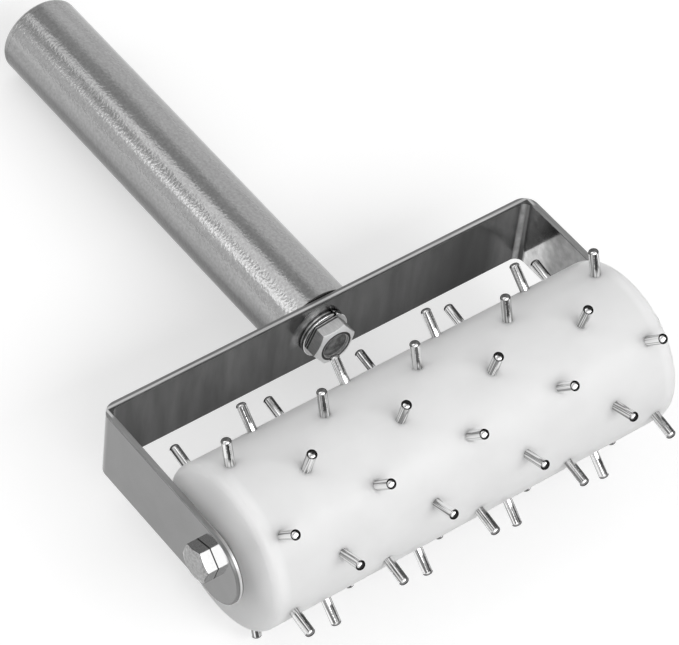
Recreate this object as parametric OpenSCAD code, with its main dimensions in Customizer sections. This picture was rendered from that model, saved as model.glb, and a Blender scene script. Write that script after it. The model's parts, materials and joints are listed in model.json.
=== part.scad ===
// Hand-held dough docker: a plastic roller set with steel pins turns on an axle bolt
// across a bent steel fork. A steel tube handle is bolted to the fork's web.
// Frame: the tool lies on a table, on its lowest row of pins and on the lower edge of
// the handle's far end. +X runs along the axle, +Y towards the handle, +Z is up.
// The origin is on the table, under the middle of the whole tool. Millimetres.

/* [Roller] */
// diameter of the roller, without its pins
roller_d = 48; // [40:0.5:90]
// rounding of the roller's end edges
roller_edge_r = 2; // [0.5:0.5:4]

/* [Pins] */
// pins in a long row; the rows between them have one pin less, half a step over
long_row_pins = 5; // [2:1:9]
// distance between neighbouring pins in a row
pin_pitch = 30.5; // [12:0.5:50]
// distance from the last pin of a long row to the roller's end
pin_margin = 6.5; // [6:0.5:20]
// diameter of a pin
pin_d = 2.4; // [1.6:0.1:4]
// height of a pin above the roller
pin_out = 8; // [4:0.5:14]
// depth of a pin in the roller
pin_in = 10; // [5:0.5:14]
// rounding of a pin's tip, as a share of its radius
pin_tip_share = 0.75; // [0.2:0.05:0.9]
// lean of the lowest row from straight down, towards the handle, in degrees
row_lean = 5.2; // [-15:0.1:15]

/* [Fork] */
// width of the steel strip
strip_w = 23; // [16:0.5:32]
// thickness of the steel strip
strip_t = 2; // [1.5:0.1:4]
// gap between each end of the roller and the arm beside it
arm_gap = 3; // [1:0.1:10]
// gap between the pins and the web
web_gap = 15; // [9:0.5:40]
// inside radius of the two bends
bend_in_r = 2.5; // [1:0.5:6]
// distance that the centre of an arm's round end lies beyond the axle
arm_over = 2.5; // [0.5:0.5:8]

/* [Handle] */
// outside diameter of the handle
grip_d = 25; // [18:0.5:35]
// length of the handle, with its end cap
grip_len = 135; // [90:1:220]
// wall of the handle tube
grip_wall = 1.5; // [1:0.1:3]
// thickness of the end cap
cap_t = 2.5; // [2:0.1:6]
// rounding of the end cap's edge
cap_edge_r = 1.5; // [0.5:0.1:1.9]
// length of the end cap's spigot in the tube
spigot_len = 8; // [3:0.5:20]
// length of the threaded plug in the tube
plug_len = 24; // [22:1:40]

/* [Axle bolt] */
// diameter of the axle
axle_d = 6; // [4:0.1:6.6]
// width across the flats of its head and nut
axle_af = 10; // [9.6:0.1:13]
// height of its head
axle_head_h = 3.8; // [3:0.1:7]
// turn of its head about the axle, in degrees
axle_head_turn = 14; // [0:1:59]
// height of the lock nut's hexagon
nut_hex_h = 4.4; // [3:0.1:8]
// height of the lock nut's round collar
nut_collar_h = 1.6; // [1.3:0.1:3]
// diameter of the lock nut's round collar
nut_collar_d = 9; // [8.4:0.1:9.4]
// wall of the lock nut's round collar
nut_collar_wall = 0.7; // [0.4:0.1:1]
// thickness of the plastic ring in the collar
nut_ring_t = 1.2; // [0.8:0.1:1.5]
// length of axle that stands out of the nut
axle_tail = 1; // [0.9:0.1:5]
// outside diameter of the two spacers
spacer_d = 12; // [9:0.5:20]

/* [Handle bolt] */
// diameter of the handle bolt
bolt_d = 8; // [6:0.1:9]
// width across the flats of its head
bolt_af = 12; // [10:0.1:17]
// height of its head
bolt_head_h = 4.8; // [4:0.1:6.5]
// turn of its head about the handle, in degrees
bolt_head_turn = 53; // [0:1:59]
// diameter of the dish in its head
dish_d = 8.2; // [5:0.1:8.3]
// depth of the dish in its head
dish_depth = 0.8; // [0.3:0.1:2]
// length of its shank
bolt_len = 25; // [16:1:26]
// outside diameter of the split lock washer
lock_d = 14.8; // [12:0.1:18]
// thickness of the split lock washer
lock_t = 2; // [1:0.1:2.4]
// width of the split
lock_split = 1; // [0.5:0.1:2]
// place of the split around the bolt, in degrees
lock_turn = 290; // [0:5:355]
// lean of the split, in degrees
lock_lean = 25; // [0:1:40]

/* [Fits] */
// radial gap between the axle and the roller's bore
bore_gap = 0.08; // [0.02:0.01:0.3]
// radial gap between a bolt and the hole that it passes through
hole_gap = 0.2; // [0.05:0.05:0.5]
// radial gap between pieces that are pressed or screwed together
seat_gap = 0.02; // [0.01:0.01:0.05]
// gap along the axle between each spacer and the roller
side_gap = 0.2; // [0.05:0.05:0.8]
// rounding of the bolts' threaded ends
thread_end_r = 0.8; // [0.2:0.1:1.5]

/* [Hidden] */
$fn = 96;
small_fn = 32;
hex_sides = 6;
row_count = 12;
// corners of a hexagon taper off at this angle, down to this share of its flats
corner_taper = 23;
corner_share = 0.84;
roller_r = roller_d / 2;
roller_len = (long_row_pins - 1) * pin_pitch + 2 * pin_margin;
pin_r = pin_d / 2;
pin_tip_r = pin_r * pin_tip_share;
grip_r = grip_d / 2;
tube_in_r = grip_r - grip_wall;
axle_r = axle_d / 2;
bolt_r = bolt_d / 2;
// the fork's size follows from what turns in it
arm_in = roller_len / 2 + arm_gap;
arm_out = arm_in + strip_t;
web_in = roller_r + pin_out + web_gap;
web_out = web_in + strip_t;
grip_end = web_out + grip_len;
spacer_t = arm_gap - side_gap;
nut_h = nut_hex_h + nut_collar_h;
row_angles = [for (i = [0 : row_count - 1]) row_lean + i * 360 / row_count];
// reach of a rounded pin's tip from the axle, in a direction that lies a degrees off the pin
function pin_reach(a) = (roller_r + pin_out - pin_tip_r) * cos(a)
    + (pin_r - pin_tip_r) * abs(sin(a)) + pin_tip_r;
down_reach = max([for (a = row_angles) pin_reach(a)]);
front_reach = max([for (a = row_angles) pin_reach(a + 90)]);
// centre of the end cap's rounding, along and across the handle
round_along = grip_end - cap_edge_r;
round_across = grip_r - cap_edge_r;
// the handle falls by this angle towards its far end, which rests on the table
tilt = asin((down_reach - cap_edge_r) / norm([round_along, round_across]))
    - atan(round_across / round_along);
back_reach = round_along * cos(tilt) + round_across * sin(tilt) + cap_edge_r;
left_reach = arm_out + axle_head_h;
right_reach = arm_out + nut_h + axle_tail;
axle_at = [(left_reach - right_reach) / 2, (front_reach - back_reach) / 2, down_reach];

// places a piece that is drawn about the axle
module at_axle() {
    translate(axle_at) children();
}

// places a piece that is drawn about the axle, with the handle level along +Y
module at_tool() {
    at_axle() rotate([-tilt, 0, 0]) children();
}

// turns a piece that is drawn along +Z, to lie along +X
module along_x() {
    rotate([0, 90, 0]) children();
}

// turns a piece that is drawn along +Z, to lie along +Y
module along_y() {
    rotate([-90, 0, 0]) children();
}

module quarter_disc(r) {
    intersection() {
        circle(r = r, $fn = small_fn);
        square(r);
    }
}

// round bar from 0 up to len, with its far edge rounded, and its near edge too if asked
module round_bar(r, len, far_r, near_r = 0) {
    rotate_extrude() {
        translate([0, near_r]) square([r, len - far_r - near_r]);
        square([r - max(far_r, near_r), len]);
        translate([r - far_r, len - far_r]) quarter_disc(far_r);
        if (near_r > 0)
            translate([r - near_r, near_r]) mirror([0, 1]) quarter_disc(near_r);
    }
}

// tube from 0 up to len
module ring(out_r, in_r, len) {
    difference() {
        cylinder(r = out_r, h = len);
        translate([0, 0, -len]) cylinder(r = in_r, h = 3 * len);
    }
}

// hexagon from 0 up to h, with the corners of its far end tapered off
module hexagon(af, h) {
    corner_r = af / 2 / cos(180 / hex_sides);
    end_r = af / 2 * corner_share;
    taper_h = (corner_r - end_r) * tan(corner_taper);
    intersection() {
        cylinder(r = corner_r, h = h, $fn = hex_sides);
        union() {
            cylinder(r = corner_r, h = h - taper_h);
            translate([0, 0, h - taper_h])
                cylinder(r1 = corner_r, r2 = end_r, h = taper_h);
        }
    }
}

// sets its child at each pin of a row, from the pin's inner end outwards along +Z
module at_pins(row) {
    count = long_row_pins - 1 + row % 2;
    for (i = [0 : count - 1])
        translate([(i - (count - 1) / 2) * pin_pitch, 0, 0])
            rotate([180 + row_angles[row], 0, 0])
                translate([0, 0, roller_r - pin_in]) children();
}

module roller_drum() {
    color([0.93, 0.93, 0.92]) at_axle() difference() {
        along_x() translate([0, 0, -roller_len / 2])
            round_bar(roller_r, roller_len, roller_edge_r, roller_edge_r);
        along_x() cylinder(r = axle_r + bore_gap, h = 2 * roller_len, center = true);
        for (row = [0 : row_count - 1])
            at_pins(row) cylinder(r = pin_r + seat_gap, h = 2 * pin_in);
    }
}

module pin_row(row) {
    color([0.75, 0.75, 0.76]) at_axle() at_pins(row)
        round_bar(pin_r, pin_in + pin_out, pin_tip_r);
}

// rectangle about the Y axis from y = start up to y = end, with its far corners rounded
module round_cornered(half_w, start, end, corner_r) {
    translate([-half_w, start]) square([2 * half_w, end - start - corner_r]);
    translate([corner_r - half_w, end - 2 * corner_r])
        square([2 * (half_w - corner_r), 2 * corner_r]);
    for (side = [-1, 1])
        translate([side * (half_w - corner_r), end - corner_r]) circle(r = corner_r);
}

// the strip seen from above
module fork_plan() {
    difference() {
        round_cornered(arm_out, -strip_w, web_out, bend_in_r + strip_t);
        round_cornered(arm_in, -2 * strip_w, web_in, bend_in_r);
    }
}

// the fork seen from its side, as an outline to be cut out along X
module fork_side() {
    translate([0, -arm_over]) circle(r = strip_w / 2);
    translate([-strip_w / 2, -arm_over]) square([strip_w, arm_over + 2 * web_out]);
}

module fork() {
    color([0.55, 0.55, 0.56]) at_tool() difference() {
        intersection() {
            linear_extrude(2 * strip_w, center = true) fork_plan();
            along_x() linear_extrude(4 * arm_out, center = true) fork_side();
        }
        along_x() cylinder(r = axle_r + hole_gap, h = 4 * arm_out, center = true);
        along_y() cylinder(r = bolt_r + hole_gap, h = 2 * web_out);
    }
}

module handle_tube() {
    color([0.68, 0.68, 0.69]) at_tool() translate([0, web_out, 0]) along_y()
        ring(grip_r, tube_in_r, grip_len - cap_t);
}

module handle_end_cap() {
    color([0.66, 0.66, 0.67]) at_tool() translate([0, grip_end - cap_t, 0]) along_y() {
        round_bar(grip_r, cap_t, cap_edge_r);
        translate([0, 0, -spigot_len])
            cylinder(r = tube_in_r - seat_gap, h = spigot_len + cap_t / 2);
    }
}

module handle_plug() {
    color([0.6, 0.6, 0.62]) at_tool() translate([0, web_out, 0]) along_y()
        ring(tube_in_r - seat_gap, bolt_r + seat_gap, plug_len);
}

module handle_bolt() {
    color([0.78, 0.78, 0.8]) at_tool() translate([0, web_in - lock_t, 0]) along_y() {
        difference() {
            rotate([0, 0, bolt_head_turn]) mirror([0, 0, 1]) hexagon(bolt_af, bolt_head_h);
            translate([0, 0, -bolt_head_h - dish_depth])
                cylinder(r = dish_d / 2, h = 2 * dish_depth);
        }
        round_bar(bolt_r, bolt_len, thread_end_r);
    }
}

module lock_washer() {
    color([0.74, 0.74, 0.76]) at_tool() translate([0, web_in - lock_t, 0]) along_y()
        difference() {
            ring(lock_d / 2, bolt_r + hole_gap, lock_t);
            rotate([0, 0, lock_turn]) translate([0, 0, lock_t / 2])
                rotate([lock_lean, 0, 0]) translate([0, -lock_split / 2, -2 * lock_t])
                    cube([lock_d, lock_split, 4 * lock_t]);
        }
}

module axle_bolt() {
    color([0.78, 0.78, 0.8]) at_tool() translate([-arm_out, 0, 0]) along_x() {
        rotate([0, 0, axle_head_turn]) mirror([0, 0, 1]) hexagon(axle_af, axle_head_h);
        round_bar(axle_r, arm_out + right_reach, thread_end_r);
    }
}

module axle_nut() {
    color([0.76, 0.76, 0.78]) at_tool() translate([arm_out, 0, 0]) along_x()
        difference() {
            union() {
                hexagon(axle_af, nut_hex_h);
                cylinder(r = nut_collar_d / 2, h = nut_h);
            }
            translate([0, 0, -nut_h]) cylinder(r = axle_r + seat_gap, h = 3 * nut_h);
            translate([0, 0, nut_hex_h])
                cylinder(r = nut_collar_d / 2 - nut_collar_wall, h = nut_h);
        }
}

module axle_nut_ring() {
    color([0.35, 0.45, 0.7]) at_tool() translate([arm_out + nut_hex_h, 0, 0]) along_x()
        ring(nut_collar_d / 2 - nut_collar_wall - seat_gap, axle_r + seat_gap, nut_ring_t);
}

// collar on the axle that fills most of the gap beside the roller, from x = start
module spacer(start) {
    color([0.9, 0.9, 0.88]) at_tool() translate([start, 0, 0]) along_x()
        ring(spacer_d / 2, axle_r + hole_gap, spacer_t);
}

roller_drum();
pin_row(0);  // pin_row_01
pin_row(1);  // pin_row_02
pin_row(2);  // pin_row_03
pin_row(3);  // pin_row_04
pin_row(4);  // pin_row_05
pin_row(5);  // pin_row_06
pin_row(6);  // pin_row_07
pin_row(7);  // pin_row_08
pin_row(8);  // pin_row_09
pin_row(9);  // pin_row_10
pin_row(10);  // pin_row_11
pin_row(11);  // pin_row_12
fork();
handle_tube();
handle_end_cap();
handle_plug();
handle_bolt();
lock_washer();
axle_bolt();
axle_nut();
axle_nut_ring();
spacer(-arm_in);  // spacer_left
spacer(arm_in - spacer_t);  // spacer_right
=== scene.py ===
# The looks of a hand-held dough docker: a white plastic roller with polished steel
# pins, in a bright steel fork on a satin steel tube handle.
import json
import math

import bmesh
import bpy
from mathutils import Matrix, Vector

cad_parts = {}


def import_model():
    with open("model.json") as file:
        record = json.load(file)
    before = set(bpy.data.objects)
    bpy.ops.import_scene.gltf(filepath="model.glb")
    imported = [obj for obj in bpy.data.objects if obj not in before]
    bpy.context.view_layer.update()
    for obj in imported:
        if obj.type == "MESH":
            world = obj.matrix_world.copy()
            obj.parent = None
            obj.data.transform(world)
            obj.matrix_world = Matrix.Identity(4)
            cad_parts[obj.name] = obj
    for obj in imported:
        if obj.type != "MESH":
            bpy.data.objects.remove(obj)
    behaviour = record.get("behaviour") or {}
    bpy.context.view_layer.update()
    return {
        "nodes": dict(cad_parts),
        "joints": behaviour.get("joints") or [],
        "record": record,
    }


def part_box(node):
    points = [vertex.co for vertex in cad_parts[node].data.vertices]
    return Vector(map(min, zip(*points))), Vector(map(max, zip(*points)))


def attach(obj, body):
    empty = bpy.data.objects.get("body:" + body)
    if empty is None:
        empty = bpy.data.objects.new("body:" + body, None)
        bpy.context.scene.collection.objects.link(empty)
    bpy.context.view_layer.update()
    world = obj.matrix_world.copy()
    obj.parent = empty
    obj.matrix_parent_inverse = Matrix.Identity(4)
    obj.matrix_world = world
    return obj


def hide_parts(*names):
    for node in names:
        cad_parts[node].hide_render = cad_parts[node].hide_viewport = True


MM = 0.001

# camera, as fitted to the photograph: the view axis passes through AIM
CAMERA_AIM_MM = Vector((8.3, -26.2, 20.0))
CAMERA_DISTANCE_MM = 1066.3
CAMERA_AZIMUTH = -47.48
CAMERA_ELEVATION = 52.15
CAMERA_ROLL = -13.89
LENS_MM = 205.7
SENSOR_MM = 36.0
CLIP_START_M = 0.05
CLIP_END_M = 50

# the world is pale at the horizon and greyer overhead, with a dark room behind the camera
HORIZON_GREY = 0.62
ZENITH_GREY = 0.37
LEFT_WALL_FROM = (-0.9, 0.42, 0.1)
RIGHT_WALL_FROM = (0.8, 0.42, 0.43)
WALL_COS = (0.78, 0.95)
WALL_GREY = 0.82
DARK_ROOM_FROM = (-0.45, -0.41, 0.79)
DARK_ROOM_COS = (0.93, 0.975)
DARK_ROOM_GREY = 0.02

FLOOR_SIZE_M = 8.0
FLOOR_GREY = 0.42
FLOOR_SEEN_GREY = 0.6
FLOOR_GLOW = 0.5

# each light's name, direction, distance and size in metres, and power in watts
LIGHTS = (
    ("key", (-0.02, -0.75, 0.66), 1.6, (1.8, 0.62), 15.6),
    ("streak", (-0.6, 0.42, 0.68), 1.3, (0.3, 1.0), 1.3),
    ("veil", (-0.27, 0.42, 0.86), 1.35, (0.66, 1.0), 1.6),
)

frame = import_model()

axle = Vector(frame["joints"][0]["pos_m"])
mounts = {m["name"]: m for m in frame["record"]["mounts"]}
grip_axis = Vector(mounts["grip"]["axis"])
tool_up = Vector((1, 0, 0)).cross(grip_axis)
tool_tilt = math.asin(-grip_axis.z)
body_of_node = {
    node: body
    for body, nodes in frame["record"]["behaviour"]["bodies"].items()
    for node in nodes
}
PIN_NODES = [node for node in frame["nodes"] if node.startswith("pin_row")]


def tool_mm(point):
    """A point of the frame in the tool's own axes: along the axle, along the handle, up."""
    away = (Vector(point) - axle) / MM
    return Vector((away.x, away.dot(grip_axis), away.dot(tool_up)))


# sizes of the pieces from the middle of the axle, read from the frame
arm_out_mm = (axle.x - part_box("fork")[0][0]) / MM
axle_head_mm = (axle.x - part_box("axle_bolt")[0][0]) / MM - arm_out_mm
roller_half_mm = (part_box("roller_drum")[1][0] - axle.x) / MM
tube_start_mm = tool_mm(mounts["grip"]["pos_m"]).y - mounts["grip"]["dims"]["length_mm"] / 2

# sizes that the CAD source names
STRIP_T_MM = 2.0
STRIP_HALF_MM = 11.5
ARM_OVER_MM = 2.5
WASHER_T_MM = 2.0
PIN_TIP_MM = 32.0

arm_in_mm = arm_out_mm - STRIP_T_MM
web_in_mm = tube_start_mm - STRIP_T_MM


# Camera
def make_camera():
    azimuth = math.radians(CAMERA_AZIMUTH)
    elevation = math.radians(CAMERA_ELEVATION)
    back = Vector((
        math.sin(azimuth) * math.cos(elevation),
        -math.cos(azimuth) * math.cos(elevation),
        math.sin(elevation),
    ))
    level_right = Vector((math.cos(azimuth), math.sin(azimuth), 0))
    upright = Matrix((level_right, back.cross(level_right), back)).transposed()
    camera = bpy.data.objects.new("camera", bpy.data.cameras.new("camera"))
    bpy.context.scene.collection.objects.link(camera)
    turn = upright @ Matrix.Rotation(math.radians(-CAMERA_ROLL), 3, "Z")
    place = (CAMERA_AIM_MM + back * CAMERA_DISTANCE_MM) * MM
    camera.matrix_world = Matrix.Translation(place) @ turn.to_4x4()
    camera.data.lens = LENS_MM
    camera.data.sensor_width = SENSOR_MM
    camera.data.clip_start = CLIP_START_M
    camera.data.clip_end = CLIP_END_M
    bpy.context.scene.camera = camera


# Light
def area_light(name, direction, distance, size, power):
    """A rectangular soft light, out in one direction from the origin, facing it."""
    light = bpy.data.lights.new(name, "AREA")
    light.shape = "RECTANGLE"
    light.size, light.size_y = size
    light.energy = power
    lamp = bpy.data.objects.new(name, light)
    bpy.context.scene.collection.objects.link(lamp)
    direction = Vector(direction).normalized()
    lamp.location = direction * distance
    lamp.rotation_mode = "QUATERNION"
    lamp.rotation_quaternion = direction.to_track_quat("Z", "Y")


def make_world():
    world = bpy.data.worlds.new("studio")
    bpy.context.scene.world = world
    world.use_nodes = True
    tree = world.node_tree
    tree.nodes.clear()
    add = tree.nodes.new
    link = tree.links.new
    coordinates = add("ShaderNodeTexCoord")
    split = add("ShaderNodeSeparateXYZ")
    link(coordinates.outputs["Generated"], split.inputs[0])
    height = add("ShaderNodeMapRange")
    height.inputs["From Min"].default_value = 0
    height.inputs["From Max"].default_value = 1
    height.inputs["To Min"].default_value = HORIZON_GREY
    height.inputs["To Max"].default_value = ZENITH_GREY
    link(split.outputs["Z"], height.inputs["Value"])
    shade = height.outputs["Result"]
    # paler walls on both sides and the dark room are soft round patches of the sky
    for centre, edge, level in (
        (LEFT_WALL_FROM, WALL_COS, WALL_GREY),
        (RIGHT_WALL_FROM, WALL_COS, WALL_GREY),
        (DARK_ROOM_FROM, DARK_ROOM_COS, DARK_ROOM_GREY),
    ):
        facing = add("ShaderNodeVectorMath")
        facing.operation = "DOT_PRODUCT"
        facing.inputs[1].default_value = Vector(centre).normalized()
        link(coordinates.outputs["Generated"], facing.inputs[0])
        patch = add("ShaderNodeMapRange")
        patch.interpolation_type = "SMOOTHSTEP"
        patch.inputs["From Min"].default_value, patch.inputs["From Max"].default_value = edge
        link(facing.outputs["Value"], patch.inputs["Value"])
        mixed = add("ShaderNodeMix")
        link(patch.outputs["Result"], mixed.inputs["Factor"])
        link(shade, mixed.inputs["A"])
        mixed.inputs["B"].default_value = level
        shade = mixed.outputs["Result"]
    background = add("ShaderNodeBackground")
    link(shade, background.inputs["Color"])
    output = add("ShaderNodeOutputWorld")
    link(background.outputs[0], output.inputs[0])


def make_floor():
    bpy.ops.mesh.primitive_plane_add(size=FLOOR_SIZE_M)
    floor = bpy.context.object
    floor.name = "floor"
    material = bpy.data.materials.new("pale_floor")
    material.use_nodes = True
    tree = material.node_tree
    tree.nodes.clear()
    add = tree.nodes.new
    link = tree.links.new
    # the floor looks white where it is seen, straight or in metal, and bounces less light
    path = add("ShaderNodeLightPath")
    glossy_too = add("ShaderNodeMath")
    glossy_too.operation = "MAXIMUM"
    link(path.outputs["Is Camera Ray"], glossy_too.inputs[0])
    link(path.outputs["Is Glossy Ray"], glossy_too.inputs[1])
    seen = add("ShaderNodeMath")
    seen.operation = "MAXIMUM"
    link(glossy_too.outputs[0], seen.inputs[0])
    link(path.outputs["Is Transmission Ray"], seen.inputs[1])
    shade = add("ShaderNodeMix")
    link(seen.outputs[0], shade.inputs["Factor"])
    shade.inputs["A"].default_value = FLOOR_GREY
    shade.inputs["B"].default_value = FLOOR_SEEN_GREY
    diffuse = add("ShaderNodeBsdfDiffuse")
    link(shade.outputs["Result"], diffuse.inputs["Color"])
    glow_strength = add("ShaderNodeMath")
    glow_strength.operation = "MULTIPLY"
    link(seen.outputs[0], glow_strength.inputs[0])
    glow_strength.inputs[1].default_value = FLOOR_GLOW
    glow = add("ShaderNodeEmission")
    link(glow_strength.outputs[0], glow.inputs["Strength"])
    both = add("ShaderNodeAddShader")
    link(diffuse.outputs[0], both.inputs[0])
    link(glow.outputs[0], both.inputs[1])
    output = add("ShaderNodeOutputMaterial")
    link(both.outputs[0], output.inputs[0])
    floor.data.materials.append(material)


# Materials
# noise keeps mostly between these two values. Below, a pair of greys or roughnesses goes
# with that range, and where there are four numbers, the last two are a range of its own
NOISE_LOW = 0.3
NOISE_HIGH = 0.7


class Finish:
    """A Principled material and the few kinds of node that the finishes share.

    Sizes are in millimetres. What goes into maths, join and mix may be a number or a node."""

    def __init__(self, name, roughness, metallic=1.0, **values):
        self.material = bpy.data.materials.new(name)
        self.material.use_nodes = True
        self.tree = self.material.node_tree
        self.tree.nodes.clear()
        self.shader = self.add("ShaderNodeBsdfPrincipled")
        self.shader.inputs["Metallic"].default_value = metallic
        self.shader.inputs["Roughness"].default_value = roughness
        for socket, value in values.items():
            self.shader.inputs[socket.replace("_", " ")].default_value = value
        output = self.add("ShaderNodeOutputMaterial")
        self.link(self.shader.outputs[0], output.inputs[0])
        self.last_bump = None

    def add(self, kind):
        return self.tree.nodes.new(kind)

    def link(self, a, b):
        self.tree.links.new(a, b)

    def put(self, value, socket):
        """Gives a socket a number, or links a node to it."""
        if isinstance(value, (int, float)):
            socket.default_value = value
        else:
            self.link(value, socket)

    def place(self, stretch=(1, 1, 1), tool=False):
        """Coordinates in millimetres, in the piece's own frame or the tilted tool's."""
        coordinates = self.add("ShaderNodeTexCoord")
        mapping = self.add("ShaderNodeMapping")
        mapping.vector_type = "POINT"
        vector = coordinates.outputs["Object"]
        if tool:
            shift = self.add("ShaderNodeVectorMath")
            shift.operation = "SUBTRACT"
            shift.inputs[1].default_value = axle
            self.link(vector, shift.inputs[0])
            turn = self.add("ShaderNodeVectorRotate")
            turn.rotation_type = "X_AXIS"
            turn.inputs["Angle"].default_value = tool_tilt
            self.link(shift.outputs[0], turn.inputs["Vector"])
            vector = turn.outputs[0]
        mapping.inputs["Scale"].default_value = [s / MM for s in stretch]
        self.link(vector, mapping.inputs["Vector"])
        return mapping.outputs[0]

    def noise(self, grain_mm, place, detail=3.0):
        """Noise from 0 to 1 whose grain is about so many millimetres."""
        noise = self.add("ShaderNodeTexNoise")
        noise.inputs["Scale"].default_value = 1 / grain_mm
        noise.inputs["Detail"].default_value = detail
        self.link(place, noise.inputs["Vector"])
        return noise.outputs["Fac"]

    def fit(self, value, low, high, start=NOISE_LOW, end=NOISE_HIGH):
        """Maps start..end of a value to low..high."""
        fit = self.add("ShaderNodeMapRange")
        fit.inputs["From Min"].default_value = start
        fit.inputs["From Max"].default_value = end
        fit.inputs["To Min"].default_value = low
        fit.inputs["To Max"].default_value = high
        self.link(value, fit.inputs["Value"])
        return fit.outputs["Result"]

    def rise(self, value, start, end):
        """From 0 to 1 as a value goes from start to end."""
        return self.fit(value, 0, 1, start, end)

    def fall(self, value, start, end):
        """From 1 to 0 as a value goes from start to end."""
        return self.fit(value, 1, 0, start, end)

    def maths(self, operation, a, b=0.0):
        """One Math node."""
        node = self.add("ShaderNodeMath")
        node.operation = operation
        for socket, value in zip(node.inputs, (a, b)):
            self.put(value, socket)
        return node.outputs[0]

    def product(self, first, *others):
        for other in others:
            first = self.maths("MULTIPLY", first, other)
        return first

    def reach(self, a, b):
        """Distance from the axle, or from another axis, by two coordinates across it."""
        return self.maths("SQRT", self.maths("ADD", self.product(a, a), self.product(b, b)))

    def split(self, place):
        parts = self.add("ShaderNodeSeparateXYZ")
        self.link(place, parts.inputs[0])
        return parts.outputs

    def join(self, x, y, z):
        joined = self.add("ShaderNodeCombineXYZ")
        for socket, value in zip(joined.inputs, (x, y, z)):
            self.put(value, socket)
        return joined.outputs[0]

    def mix(self, factor, a, b):
        """A number that goes from a to b as the factor goes from 0 to 1."""
        mix = self.add("ShaderNodeMix")
        for name, value in (("Factor", factor), ("A", a), ("B", b)):
            self.put(value, mix.inputs[name])
        return mix.outputs["Result"]

    def facing(self, direction, low=0, high=1):
        """From 0 to 1 as the surface turns to face a direction, between two cosines."""
        geometry = self.add("ShaderNodeNewGeometry")
        dot = self.add("ShaderNodeVectorMath")
        dot.operation = "DOT_PRODUCT"
        dot.inputs[1].default_value = direction
        self.link(geometry.outputs["Normal"], dot.inputs[0])
        return self.rise(dot.outputs["Value"], low, high)

    def steps(self, value, stops):
        """A number that follows a list of (place, level) pairs, in straight lines."""
        result = None
        for (start, low), (end, high) in zip(stops, stops[1:]):
            part = self.fit(value, 0, high - low, start, end)
            result = part if result is None else self.maths("ADD", result, part)
        return self.maths("ADD", result, stops[0][1])

    def grey_base(self, value):
        self.link(value, self.shader.inputs["Base Color"])

    def colour(self, value, dark, light):
        """Base colour between two colours, by a noise."""
        mix = self.add("ShaderNodeMix")
        mix.data_type = "RGBA"
        self.link(self.fit(value, 0, 1), mix.inputs["Factor"])
        mix.inputs["A"].default_value = (*dark, 1)
        mix.inputs["B"].default_value = (*light, 1)
        self.link(mix.outputs["Result"], self.shader.inputs["Base Color"])

    def roughness(self, value):
        self.link(value, self.shader.inputs["Roughness"])

    def bump(self, value, height_mm):
        bump = self.add("ShaderNodeBump")
        bump.inputs["Distance"].default_value = height_mm * MM
        self.link(value, bump.inputs["Height"])
        if self.last_bump is not None:
            self.link(self.last_bump, bump.inputs["Normal"])
        self.last_bump = bump.outputs[0]
        self.link(self.last_bump, self.shader.inputs["Normal"])


def grey(level, warm=0.0):
    return (level + warm, level, level - warm)


def before(end_mm, offsets_mm):
    """Places that lie so far before an end."""
    return [end_mm - offset_mm for offset_mm in offsets_mm]


def from_start(start_mm, stops):
    """The same steps, with their places counted from a start."""
    return [(start_mm + offset_mm, level) for offset_mm, level in stops]


# the roller's ends are painted paler, painted light against the shade of the arms, and light goes
# deeper into the plastic there
ROLLER_GREYS = (0.79, 0.82, 0.35, 0.65)
ROLLER_END_MM = (5, 1)
ROLLER_END_PAINTED_LIGHT = 0.17
ROLLER_LIGHT_WEIGHT = 0.85
ROLLER_LIGHT_DEPTH_MM = (5, 22)
ROLLER_ROUGHNESS = (0.36, 0.46)


def roller_plastic():
    """Milky white plastic, turned smooth, with the faintest cloudiness and turning marks."""
    finish = Finish("milky_plastic", 0.4, metallic=0.0, IOR=1.5)
    cloud = finish.noise(14, finish.place())
    off_centre = finish.maths("ABSOLUTE", finish.split(finish.place(tool=True))[0])
    end = finish.rise(off_centre, *before(roller_half_mm, ROLLER_END_MM))
    # painted light: the base colour is lifted near the ends, where the arms shade the roller
    finish.grey_base(finish.maths("ADD", finish.fit(cloud, *ROLLER_GREYS),
                                  finish.product(end, ROLLER_END_PAINTED_LIGHT)))
    turning = finish.noise(0.35, finish.place((1, 0.05, 0.05)), detail=2.0)
    finish.roughness(finish.fit(finish.noise(5, finish.place()), *ROLLER_ROUGHNESS))
    finish.bump(turning, 0.004)
    finish.shader.inputs["Subsurface Weight"].default_value = ROLLER_LIGHT_WEIGHT
    finish.shader.inputs["Subsurface Radius"].default_value = (1, 1, 1)
    depths = [depth_mm * MM for depth_mm in ROLLER_LIGHT_DEPTH_MM]
    finish.link(finish.fit(end, *depths, 0, 1), finish.shader.inputs["Subsurface Scale"])
    return finish.material


# grey of a pin's body, by the noise of its drawing lines, with a contrast strong enough to paint
# streaks of reflection along the pin
PIN_LINES = [(0.3, 0.82), (0.4, 0.94), (0.44, 0.3), (0.5, 0.25), (0.54, 0.87), (0.7, 0.96)]
PIN_LINE_MM = 0.75
PIN_LINES_AT_MM = 28.0
# the rounding of a pin's tip starts so far below its end
PIN_ROUNDING_MM = (0.95, 0.8)
PIN_SPECKLE = (-0.03, 0.03)
PIN_TIP_LIT_COS = (0.83, 0.9)
PIN_TIP_PAINTED_DARK = (0.24, 0.03)
PIN_TIP_BRIGHT = 1.0
PIN_TIP_ROUGHNESS = (0.12, 0.32)
PIN_ROUGHNESS = (0.05, 0.12)
# share of the dark room's direction along the handle and up, and the cosines at which a row starts to
# have tips painted black, a painted reflection of the dark room, and loses its painted stripe
DARK_ROOM_ALONG = 0.497
DARK_ROOM_UP = 0.741
PIN_PAINTED_BLACK_TIP_COS = (0.5, 0.7)
PIN_NO_PAINTED_STRIPE_COS = (0.58, 0.68)
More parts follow.
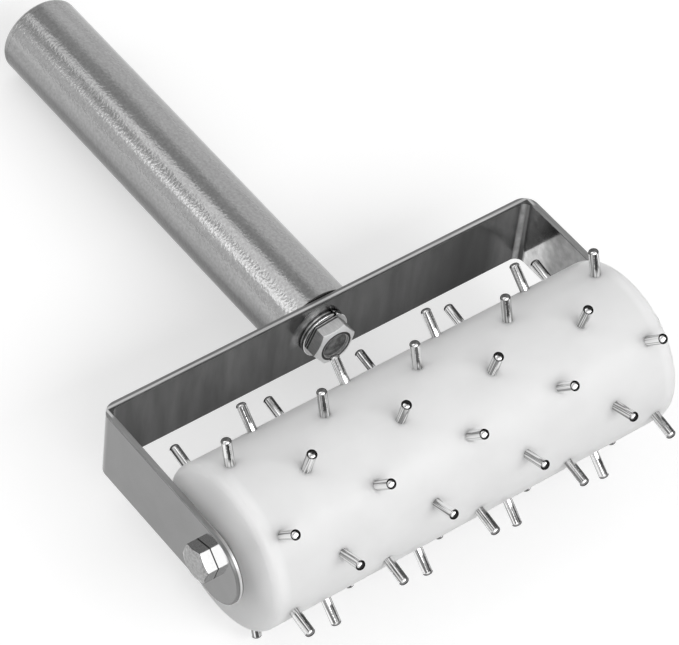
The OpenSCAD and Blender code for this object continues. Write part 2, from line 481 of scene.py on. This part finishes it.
# the painted reflection stripe looks this way, starts so far from the axle and has speckled sides
PIN_PAINTED_STRIPE_FROM = (0.68, -0.73, 0.0)
PIN_PAINTED_STRIPE_SPECKLE = 2.0
PIN_PAINTED_STRIPE = [(0.03, 0.0), (0.14, 1.0), (0.52, 1.0), (0.68, 0.0)]
PIN_PAINTED_STRIPE_GREYS = (0.02, 0.12, 0.4, 0.6)
PIN_PAINTED_STRIPE_FOOT_MM = (25.2, 26.4)


def pin_steel():
    """Polished wire with drawing lines, painted streaks and a painted stripe of reflection, and a
    rounded tip with a painted reflection of the dark room, bright on one side only.
    """
    finish = Finish("polished_pin_steel", 0.08)
    x, y, z = finish.split(finish.place(tool=True))
    out = finish.reach(y, z)
    # drawing lines run along each pin: the same at every distance from the axle
    spread = finish.maths("DIVIDE", PIN_LINES_AT_MM, out)
    along = finish.join(x, finish.product(y, spread), finish.product(z, spread))
    lines = finish.noise(PIN_LINE_MM, along, detail=2.0)
    body = finish.steps(lines, PIN_LINES)
    rounding = finish.rise(out, *before(PIN_TIP_MM, PIN_ROUNDING_MM))
    speckle = finish.fit(finish.noise(0.4, finish.place(), detail=2.0), *PIN_SPECKLE)
    # painted reflection: the tip is painted dark where it faces the dark room and bright elsewhere
    lit_side = finish.facing(Vector(DARK_ROOM_FROM).normalized())
    lit_side = finish.rise(finish.maths("ADD", lit_side, speckle), *PIN_TIP_LIT_COS)
    # only the rows that face the dark room have black painted on their tips, a painted reflection of
    # it
    ahead = finish.maths("SUBTRACT", finish.product(z, DARK_ROOM_UP),
                         finish.product(y, DARK_ROOM_ALONG))
    ahead = finish.maths("DIVIDE", ahead, out)
    tip_painted_dark = finish.fit(ahead, *PIN_TIP_PAINTED_DARK, *PIN_PAINTED_BLACK_TIP_COS)
    # the other rows carry a painted reflection of it in one long stripe on their bodies
    side = finish.facing(Vector(PIN_PAINTED_STRIPE_FROM).normalized())
    side = finish.maths("ADD", side, finish.product(speckle, PIN_PAINTED_STRIPE_SPECKLE))
    painted_stripe = finish.product(finish.steps(side, PIN_PAINTED_STRIPE), finish.fall(ahead, *PIN_NO_PAINTED_STRIPE_COS),
                            finish.rise(out, *PIN_PAINTED_STRIPE_FOOT_MM))
    body = finish.mix(painted_stripe, body, finish.fit(lines, *PIN_PAINTED_STRIPE_GREYS))
    tip = finish.mix(lit_side, tip_painted_dark, PIN_TIP_BRIGHT)
    finish.grey_base(finish.mix(rounding, body, tip))
    polish = finish.fit(finish.noise(1.2, finish.place()), *PIN_ROUGHNESS)
    finish.roughness(finish.mix(rounding, polish, finish.mix(lit_side, *PIN_TIP_ROUGHNESS)))
    # the tip's painted dark side stays dark where it is seen at a slant
    finish.link(finish.maths("SUBTRACT", 1.0, rounding), finish.shader.inputs["Specular Tint"])
    finish.bump(finish.noise(0.5, finish.place()), 0.006)
    return finish.material


# the tube's grey by its streaks and its grain, with painted shade by how far it faces up and how far
# it faces +X
TUBE_STREAK_GREYS = (0.4, 0.45)
TUBE_GRAIN_GREYS = (-0.045, 0.045)
TUBE_UNDER_SHADE = [(0.34, 0.16), (0.4, 0.28), (0.51, 0.45), (0.57, 0.68), (0.8, 1.0)]
TUBE_FLANK_SHADE = (1.0, 0.62, 0.4, 0.66)
# the tube's very end on the web is painted dark, a painted contact shadow
TUBE_SEAM_SHADOW_MM = (0.05, 0.2)
TUBE_SEAM_SHADOW_GREY = 0.12
TUBE_ROUGHNESS = (0.13, 0.2)


def tube_steel(name):
    """Satin tube: a fine orange-peel grain that glitters in the light, faint long streaks, and
    painted shade underneath, on its +X flank and at its end on the web.
    """
    finish = Finish(name, 0.2)
    plain = finish.place(tool=True)
    streaks = finish.noise(2.2, finish.place((1, 0.08, 1), tool=True))
    grain = finish.noise(0.8, plain, detail=2.5)
    past_web = finish.maths("SUBTRACT", finish.split(plain)[1], tube_start_mm)
    seam_shadow = finish.fall(past_web, *TUBE_SEAM_SHADOW_MM)
    satin = finish.maths("ADD", finish.fit(streaks, *TUBE_STREAK_GREYS),
                         finish.fit(grain, *TUBE_GRAIN_GREYS))
    # painted shade: darker underneath and on the +X flank
    under = finish.steps(finish.facing(tool_up, -1, 1), TUBE_UNDER_SHADE)
    flank = finish.fit(finish.facing(Vector((1, 0, 0))), *TUBE_FLANK_SHADE)
    finish.grey_base(finish.mix(seam_shadow, finish.product(satin, under, flank), TUBE_SEAM_SHADOW_GREY))
    finish.roughness(finish.fit(finish.noise(3, plain), *TUBE_ROUGHNESS))
    finish.bump(grain, 0.065)
    finish.bump(streaks, 0.01)
    return finish.material


# the strip's sheared edge begins so far inside its outline, and has a painted highlight along its
# middle
EDGE_MM = (0.08, 0.03)
EDGE_TOP_MM = (0.45, 0.35)
EDGE_GREYS = (0.28, 0.38)
EDGE_HIGHLIGHT_LINE = [(0.2, 0.1), (0.4, 0.75), (0.95, 0.75), (1.2, 0.27)]
EDGE_HIGHLIGHT_LINE_VARIES = (0.8, 1.15)
EDGE_ROUGHNESS = (0.5, 0.3)
SHEAR_STRETCH = 0.03
# the arms' tips, in front of and behind the axle, and the web, before the tube's start
ARM_TIP_MM = (-8, 0)
WEB_MM = (5, 4)
# painted shade and reflection on the web's inner face: along it, darker to the right and painted
# bright again at the corner
WEB_DEPTH_MM = (0.6, 1.2)
WEB_SHADE_GREYS = (0.095, 0.15, 0.33, 0.67)
WEB_SHADE_ALONG = [(10, 1.0), (30, 0.78), (48, 0.32), (58, 0.28), (63, 0.85)]
WEB_CORNER_MM = (64.5, 67.5)
WEB_CORNER_LIGHT = 1.3
WEB_SHADE_UPWARD = (0.72, 1.2, -9, 9)
WEB_ROUGHNESS = (0.17, 0.26)
# a painted reflection of the washer, bright round the bolt's hole, on the side away from the corner
WEB_BOLT_REFLECTION_OUT_MM = (8.0, 11.0)
WEB_BOLT_REFLECTION_ALONG_MM = (-4, 3)
WEB_BOLT_REFLECTION_UP_MM = (-2, 6)
WEB_BOLT_REFLECTION_GREYS = (0.4, 1.0)
# the painted highlight stripe in the right bend, from inside the arm and from the web
BEND_START_MM = (2.2, 1.4)
BEND_END_MM = (0.9, 0.5)
BEND_WEB_MM = (5.5, 4.5)
BEND_HIGHLIGHT_GREYS = (0.38, 0.6)
# the other faces
OUTER_GREYS = (0.28, 0.32)
OUTER_ROUGHNESS = (0.08, 0.13)
# the left arm's outer face is painted a little darker, painted shade in its reflection
LEFT_OUTSIDE_SHADE_GREYS = (0.24, 0.26)
LEFT_OUTSIDE_MM = (0.6, 0.3)
# the left arm's inner face is painted pale, painted light that it throws onto the roller's end
LEFT_INSIDE_LIGHT_GREYS = (0.88, 0.94)
RIGHT_INSIDE_GREYS = (0.26, 0.38)
# the right arm's inner face is painted brighter near the web, painted light in its reflection in the
# web
RIGHT_NEAR_WEB_LIGHT = (1.0, 2.2)
RIGHT_NEAR_WEB_LIGHT_MM = (16, 10)
ARMS_FROM_MM = (40, 45)
INSIDE_DEPTH_MM = (0.3, 0.6)
PATCH_ROUGHNESS = 0.6


def fork_steel():
    """Bright rolled sheet: nearly a mirror on its faces, rough and lined on its sheared edges, with
    painted highlights, shade and reflections.
    """
    finish = Finish("bright_sheet_steel", 0.12)
    plain = finish.place(tool=True)
    x, y, z = finish.split(plain)
    smudge = finish.noise(9, plain, detail=4.0)
    mottle = finish.noise(2.5, plain, detail=4.0)
    wiped = finish.noise(5, finish.place((1, 1, 0.2), tool=True), detail=4.0)
    rolled = finish.noise(0.4, finish.place((0.04, 0.04, 1), tool=True), detail=2.0)
    # distance from the middle of the strip's width, round its ends too
    behind = finish.maths("MINIMUM", finish.maths("ADD", y, ARM_OVER_MM), 0.0)
    across = finish.reach(behind, z)
    edge = finish.rise(across, *before(STRIP_HALF_MM, EDGE_MM))
    # depth in the sheet, from its inner face
    depth = finish.maths("MAXIMUM", finish.maths("SUBTRACT", y, web_in_mm),
                         finish.maths("SUBTRACT", finish.maths("ABSOLUTE", x), arm_in_mm))
    run = finish.product(finish.maths("ADD", x, y), SHEAR_STRETCH)
    shear = finish.noise(0.55, finish.join(depth, run, 0.0))
    web = finish.rise(y, *before(tube_start_mm, WEB_MM))
    tip = finish.fall(y, *ARM_TIP_MM)

    # the web's inner face is painted darker, painted shade and reflection, darkest before the corner
    # by the lock nut
    inside_web = finish.product(web, finish.fall(depth, *WEB_DEPTH_MM))
    at_corner = finish.rise(finish.maths("ADD", x, z), *WEB_CORNER_MM)
    along_web = finish.mix(at_corner, finish.steps(x, WEB_SHADE_ALONG), WEB_CORNER_LIGHT)
    web_painted_grey = finish.product(finish.fit(wiped, *WEB_SHADE_GREYS), along_web,
                              finish.fit(z, *WEB_SHADE_UPWARD))
    # painted reflection of the washer on the web, round the bolt's hole
    bolt_reflection = finish.product(finish.fall(finish.reach(x, z), *WEB_BOLT_REFLECTION_OUT_MM),
                            finish.fall(x, *WEB_BOLT_REFLECTION_ALONG_MM), finish.rise(z, *WEB_BOLT_REFLECTION_UP_MM),
                            inside_web)
    web_painted_grey = finish.mix(bolt_reflection, web_painted_grey, finish.fit(mottle, *WEB_BOLT_REFLECTION_GREYS))

    # the arms and the web's outer face
    leftward = finish.product(x, -1.0)
    inside = finish.fall(depth, *INSIDE_DEPTH_MM)
    right_inside = finish.product(finish.rise(x, *ARMS_FROM_MM), inside)
    left_inside = finish.product(finish.rise(leftward, *ARMS_FROM_MM), inside)
    left_outside = finish.rise(leftward, *before(arm_out_mm, LEFT_OUTSIDE_MM))
    near_web_light = finish.fit(y, *RIGHT_NEAR_WEB_LIGHT, *before(tube_start_mm, RIGHT_NEAR_WEB_LIGHT_MM))
    right_grey = finish.product(finish.fit(mottle, *RIGHT_INSIDE_GREYS), near_web_light)
    face_grey = finish.mix(left_outside, finish.fit(smudge, *OUTER_GREYS),
                           finish.fit(smudge, *LEFT_OUTSIDE_SHADE_GREYS))
    face_grey = finish.mix(left_inside, face_grey, finish.fit(smudge, *LEFT_INSIDE_LIGHT_GREYS))
    face_grey = finish.mix(right_inside, face_grey, right_grey)
    face_grey = finish.mix(inside_web, face_grey, web_painted_grey)
    bend_highlight = finish.product(finish.rise(x, *before(arm_in_mm, BEND_START_MM)),
                          finish.fall(x, *before(arm_in_mm, BEND_END_MM)),
                          finish.rise(y, *before(tube_start_mm, BEND_WEB_MM)))
    face_grey = finish.mix(bend_highlight, face_grey, finish.fit(mottle, *BEND_HIGHLIGHT_GREYS))

    # a painted highlight runs along the middle of the sheared edge, on the web and round the tips
    painted_highlight = finish.product(finish.steps(depth, EDGE_HIGHLIGHT_LINE), finish.fit(shear, *EDGE_HIGHLIGHT_LINE_VARIES))
    on_top = finish.product(finish.maths("MAXIMUM", web, tip),
                            finish.rise(across, *before(STRIP_HALF_MM, EDGE_TOP_MM)))
    edge_grey = finish.mix(on_top, finish.fit(shear, *EDGE_GREYS), painted_highlight)
    edge = finish.maths("MAXIMUM", edge, on_top)
    finish.grey_base(finish.mix(edge, face_grey, edge_grey))

    face_rough = finish.mix(inside_web, finish.fit(smudge, *OUTER_ROUGHNESS),
                            finish.fit(wiped, *WEB_ROUGHNESS))
    face_rough = finish.mix(finish.maths("MAXIMUM", bolt_reflection, bend_highlight), face_rough, PATCH_ROUGHNESS)
    finish.roughness(finish.mix(edge, face_rough, finish.fit(shear, *EDGE_ROUGHNESS)))
    finish.bump(rolled, 0.0015)
    finish.bump(finish.product(shear, edge), 0.25)
    return finish.material


# greys of the handle bolt's face, outwards, with painted light and shade: a painted highlight on the
# dish's rim, a ring of painted shade and the chamfer painted pale as a highlight
BOLT_FACE = [(3.9, 0.0), (4.0, 0.55), (4.2, 0.55), (4.3, 0.05), (4.85, 0.05), (5.0, 0.95)]
BOLT_FACE_COS = (0.8, 0.9)
BOLT_CHAMFER_MM = (4.9, 5.0)
BOLT_CHAMFER_ROUGHNESS = 0.8
BOLT_DISH_MM = (3.8, 4.0)
BOLT_DISH_SHADE_GREYS = (0.04, 0.3)
BOLT_FLAT_GREYS = (0.72, 0.86)
BOLT_ROUGHNESS = (0.36, 0.5)
# painted shade with a painted highlight between runs round the foot of the head, so far above the
# washer
BOLT_FOOT_LIGHT_AND_SHADE = [(-1.05, 1.0), (-0.95, 0.16), (-0.5, 0.16), (-0.42, 1.1), (-0.3, 1.1), (-0.22, 0.12)]


def handle_bolt_steel():
    """A bright forged head: brushed flats, a pale chamfer and a bright dish rim as painted
    highlights, a dark face ring and a dark dish as painted shade, and painted shade round its foot.
    """
    finish = Finish("handle_bolt_steel", 0.3)
    plain = finish.place(tool=True)
    x, y, z = finish.split(plain)
    out = finish.reach(x, z)
    mottle = finish.noise(1.3, plain, detail=4.0)
    brushed = finish.noise(0.35, finish.place((1, 0.15, 1), tool=True), detail=2.0)
    face = finish.facing(-grip_axis, *BOLT_FACE_COS)
    # painted shade in the recessed dish
    dish_shade = finish.product(finish.fall(out, *BOLT_DISH_MM), finish.fit(mottle, *BOLT_DISH_SHADE_GREYS))
    face_grey = finish.maths("ADD", finish.steps(out, BOLT_FACE), dish_shade)
    foot = finish.steps(y, from_start(web_in_mm - WASHER_T_MM, BOLT_FOOT_LIGHT_AND_SHADE))
    flats = finish.product(finish.fit(brushed, *BOLT_FLAT_GREYS), foot)
    finish.grey_base(finish.mix(face, flats, face_grey))
    chamfer = finish.product(face, finish.rise(out, *BOLT_CHAMFER_MM))
    finish.roughness(finish.mix(chamfer, finish.fit(mottle, *BOLT_ROUGHNESS),
                                BOLT_CHAMFER_ROUGHNESS))
    finish.bump(mottle, 0.01)
    finish.bump(brushed, 0.01)
    return finish.material


# how far a surface of the axle's hexagons faces along the axle
AXLE_END_COS = (0.94, 0.97)
AXLE_CHAMFER_COS = (0.86, 0.9)
AXLE_CREASE_COS = (0.1, 0.3)
# painted shade at the foot and brow of the flats, by the distance from the axle: deeper at the
# corners
AXLE_FLAT_MM = 6.0
AXLE_CORNER_MM = 6.9
AXLE_FOOT_MM = (0.2, 1.1)
AXLE_BROW_MM = (0.4, 1.3)
AXLE_SOFT_MM = (-0.05, 0.05)
AXLE_FLAT_GREYS = (0.66, 0.74)
AXLE_SHADE_GREY = 0.08
AXLE_END_GREYS = (0.26, 0.44)
AXLE_ROUGHNESS = (0.1, 0.18)
AXLE_END_ROUGHNESS = 0.3


def axle_steel():
    """Bright flats, with painted shade at their foot, brow and creases, and an end face that is dull
    and finely pitted.
    """
    finish = Finish("axle_steel", 0.15)
    pits = finish.noise(0.7, finish.place(), detail=4.0)
    x, y, z = finish.split(finish.place(tool=True))
    out = finish.reach(y, z)
    both_ways = finish.maths("MAXIMUM", finish.facing(Vector((-1, 0, 0))),
                             finish.facing(Vector((1, 0, 0))))
    ends = finish.rise(both_ways, *AXLE_END_COS)
    chamfer = finish.rise(both_ways, *AXLE_CHAMFER_COS)
    crease = finish.product(finish.rise(both_ways, *AXLE_CREASE_COS),
                            finish.maths("SUBTRACT", 1.0, chamfer))
    rise_mm = finish.maths("SUBTRACT", finish.maths("ABSOLUTE", x), arm_out_mm)
    places_mm = (AXLE_FLAT_MM, AXLE_CORNER_MM)
    foot_mm = finish.steps(out, list(zip(places_mm, AXLE_FOOT_MM)))
    foot = finish.fall(finish.maths("SUBTRACT", rise_mm, foot_mm), *AXLE_SOFT_MM)
    brow_mm = finish.steps(out, list(zip(places_mm, before(axle_head_mm, AXLE_BROW_MM))))
    brow = finish.rise(finish.maths("SUBTRACT", rise_mm, brow_mm), *AXLE_SOFT_MM)
    # painted shade in the creases and at the foot and brow of the flats
    dark = finish.maths("MAXIMUM", crease, finish.maths("MAXIMUM", foot, brow))
    flats = finish.mix(dark, finish.fit(pits, *AXLE_FLAT_GREYS), AXLE_SHADE_GREY)
    finish.grey_base(finish.mix(chamfer, flats, finish.fit(pits, *AXLE_END_GREYS)))
    finish.roughness(finish.mix(ends, finish.fit(pits, *AXLE_ROUGHNESS), AXLE_END_ROUGHNESS))
    finish.bump(pits, 0.006)
    return finish.material


# greys of the lock washer's rim, from its face under the bolt's head to the web: painted highlights
# at its corners and painted shade between them and by the web
WASHER_RIM_LIGHT_AND_SHADE = [
    (-2.0, 0.5), (-1.95, 0.95), (-1.6, 0.95), (-1.45, 0.12), (-1.1, 0.12),
    (-0.95, 0.9), (-0.7, 0.9), (-0.55, 0.15), (-0.2, 0.1),
]
WASHER_WEAR = (0.85, 1.0)
WASHER_ROUGHNESS = (0.14, 0.26)


def washer_steel():
    """Spring steel with painted highlights in lines round its rim, at its corners."""
    finish = Finish("spring_washer_steel", 0.14)
    plain = finish.place(tool=True)
    marks = finish.noise(0.8, plain)
    lines = finish.steps(finish.split(plain)[1], from_start(web_in_mm, WASHER_RIM_LIGHT_AND_SHADE))
    finish.grey_base(finish.product(lines, finish.fit(marks, *WASHER_WEAR)))
    finish.roughness(finish.fit(marks, *WASHER_ROUGHNESS))
    finish.bump(marks, 0.012)
    return finish.material


def small_finish(name, roughness, metallic, pattern, colours, bump_mm, bump_pattern=None):
    """A finish with one noise between two colours, for pieces that hardly show.

    A pattern is a grain in millimetres and its stretch, or None where it isn't stretched."""
    finish = Finish(name, roughness, metallic=metallic)

    def noise(grain_mm, stretch):
        return finish.noise(grain_mm, finish.place(stretch, tool=True) if stretch else finish.place())

    tint = noise(*pattern)
    finish.colour(tint, *colours)
    finish.bump(noise(*bump_pattern) if bump_pattern else tint, bump_mm)
    return finish.material


def plug_steel():
    return small_finish("turned_plug_steel", 0.35, 1.0, (0.3, (0.2, 3, 0.2)),
                        (grey(0.42), grey(0.5)), 0.01)


def ring_plastic():
    return small_finish("lock_ring_plastic", 0.45, 0.0, (0.8, None),
                        ((0.07, 0.13, 0.36), (0.1, 0.18, 0.44)), 0.01)


def spacer_plastic():
    return small_finish("spacer_plastic", 0.5, 0.0, (2, None),
                        (grey(0.74, 0.01), grey(0.8, 0.01)), 0.005, (0.3, None))


# Pieces
# points closer than this are one, and faces that turn less than this are flat
WELD_MM = 0.002
FLAT_DEG = 0.4
# creases and corners turn more than this, and nothing turns more than ALL_DEG
CREASE_DEG = 18
CORNER_DEG = 35
ALL_DEG = 181
BEVEL_SEGMENTS = 3

# the pins are thicker here than in the CAD, and each sinks a little into the roller, so
# that none of them passes the CAD's box
PIN_WIDER = 1.2
PIN_SUNK_MM = 0.02
PIN_APART_MM = 5


def stand_in(mesh, node):
    """A piece in a CAD node's stead, on the same body."""
    piece = bpy.data.objects.new(mesh.name, mesh)
    bpy.context.scene.collection.objects.link(piece)
    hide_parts(node)
    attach(piece, body_of_node[node])
    return piece


def softened(node, width_mm, crease_mm=0):
    """Stands in for a CAD node with the same shape and its sharp edges slightly rounded.

    Creases too flat to count as corners are rounded by their own smaller width."""
    source = frame["nodes"][node]
    mesh = bpy.data.meshes.new(node + "_softened")
    shape = bmesh.new()
    shape.from_mesh(source.data)
    bmesh.ops.remove_doubles(shape, verts=shape.verts, dist=WELD_MM * MM)
    bmesh.ops.dissolve_limit(
        shape, angle_limit=math.radians(FLAT_DEG), verts=shape.verts, edges=shape.edges
    )
    for low, high, width in ((CREASE_DEG, CORNER_DEG, crease_mm), (CORNER_DEG, ALL_DEG, width_mm)):
        if width == 0:
            continue
        sharp = [
            edge for edge in shape.edges
            if len(edge.link_faces) == 2
            and math.radians(low) < edge.calc_face_angle(0) <= math.radians(high)
        ]
        bmesh.ops.bevel(
            shape, geom=sharp, offset=width * MM, offset_type="OFFSET",
            segments=BEVEL_SEGMENTS, profile=0.5, affect="EDGES", clamp_overlap=True,
        )
    for face in shape.faces:
        face.smooth = True
    shape.to_mesh(mesh)
    shape.free()
    piece = stand_in(mesh, node)
    weighted = piece.modifiers.new("weighted", "WEIGHTED_NORMAL")
    weighted.keep_sharp = False
    return piece


def wider(node):
    """Stands in for a row of pins, each in its own place but slightly thicker."""
    mesh = frame["nodes"][node].data.copy()
    mesh.name = node + "_wider"
    places = [vertex.co - axle for vertex in mesh.vertices]
    middle = sum(places, Vector())
    out = Vector((0, middle.y, middle.z)).normalized()
    order = sorted(range(len(places)), key=lambda index: places[index].x)
    pins = [[order[0]]]
    for index, following in zip(order, order[1:]):
        if places[following].x - places[index].x > PIN_APART_MM * MM:
            pins.append([])
        pins[-1].append(following)
    for pin in pins:
        centre = Vector(((places[pin[0]].x + places[pin[-1]].x) / 2, 0, 0))
        for index in pin:
            across = places[index] - centre
            across -= across.dot(out) * out
            mesh.vertices[index].co += across * (PIN_WIDER - 1) - out * PIN_SUNK_MM * MM
    return stand_in(mesh, node)


def dress(thing, material):
    thing.data.materials.clear()
    thing.data.materials.append(material)


make_camera()
make_world()
make_floor()
for light in LIGHTS:
    area_light(*light)

pins = pin_steel()
axle_finish = axle_steel()
spacers = spacer_plastic()
for piece, finish in (
    (frame["nodes"]["roller_drum"], roller_plastic()),
    *((wider(node), pins) for node in PIN_NODES),
    (frame["nodes"]["handle_plug"], plug_steel()),
    (frame["nodes"]["handle_end_cap"], tube_steel("satin_cap_steel")),
    (frame["nodes"]["axle_nut_ring"], ring_plastic()),
    (frame["nodes"]["spacer_left"], spacers),
    (frame["nodes"]["spacer_right"], spacers),
    (softened("fork", width_mm=0.5), fork_steel()),
    (softened("handle_tube", width_mm=0.05), tube_steel("satin_tube_steel")),
    (softened("handle_bolt", width_mm=0.4, crease_mm=0.08), handle_bolt_steel()),
    (softened("lock_washer", width_mm=0.25), washer_steel()),
    (softened("axle_bolt", width_mm=0.2, crease_mm=0.08), axle_finish),
    (softened("axle_nut", width_mm=0.12), axle_finish),
):
    dress(piece, finish)

bpy.context.scene.view_settings.view_transform = "Standard"
